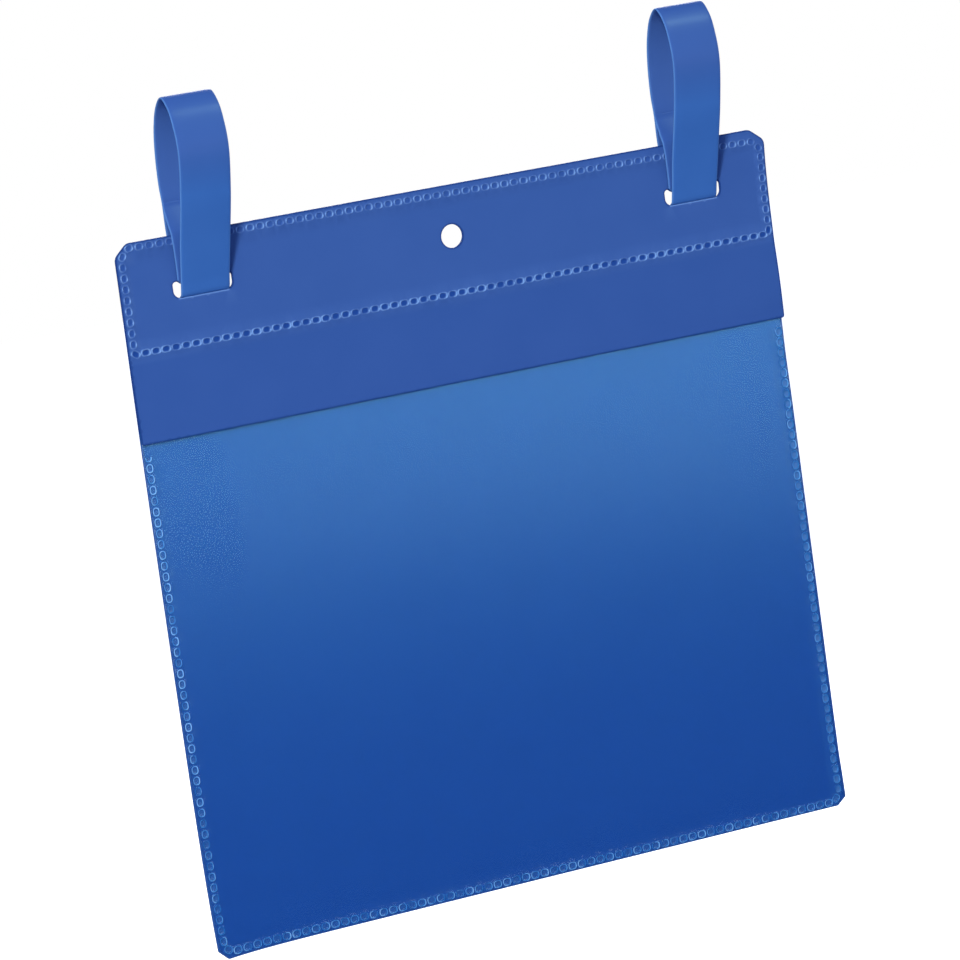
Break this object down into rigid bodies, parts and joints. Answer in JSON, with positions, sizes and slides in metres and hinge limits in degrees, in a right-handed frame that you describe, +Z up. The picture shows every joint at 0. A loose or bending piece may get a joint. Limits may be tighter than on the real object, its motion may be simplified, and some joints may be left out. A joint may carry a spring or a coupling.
{
  "type": "hanging document pocket",
  "caption": "Blue film pocket for an A5 landscape sheet, with a clear welded window, a folding rain flap over its mouth and strap loops that hang it on a mesh wire.",
  "frame": {"origin": "midway between the two strap loops, at the height of their inner tops, where the wire that carries them lies", "axes": "+Z up, +X to the viewer's right along the wire, -Y out of the front, so the back sheet faces +Y"},
  "size_m": [0.223, 0.0201, 0.2653],
  "materials": {
    "back_film": "smooth blue polypropylene film, faintly grained at the back",
    "header_film": "matte fine-grained blue polypropylene film",
    "window_film": "clear glossy polypropylene film with a light blue cast",
    "strap_film": "satin blue polypropylene band with paler cut edges"
  },
  "bodies": {
    "pocket": {"back_sheet": "back_film", "front_window": "window_film", "header_panel": "header_film"},
    "flap": {"rain_flap": "header_film"},
    "left_strap": {"strap_left": "strap_film"},
    "right_strap": {"strap_right": "strap_film"}
  },
  "joints": [
    {"name": "flap_lift", "type": "hinge", "parent": "pocket", "child": "flap", "pos_m": [0, 0.00656, -0.0786], "axis": [-1, 0, 0], "range_deg": [0, 110], "stiffness_Nm_per_rad": 0.002},
    {"name": "left_strap_rock", "type": "hinge", "parent": "pocket", "child": "left_strap", "pos_m": [-0.0845, 0.00696, -0.0567], "axis": [1, 0, 0], "range_deg": [0, 6], "stiffness_Nm_per_rad": 0.02},
    {"name": "right_strap_rock", "type": "hinge", "parent": "pocket", "child": "right_strap", "pos_m": [0.0845, 0.00696, -0.0567], "axis": [1, 0, 0], "range_deg": [0, 6], "stiffness_Nm_per_rad": 0.02}
  ]
}
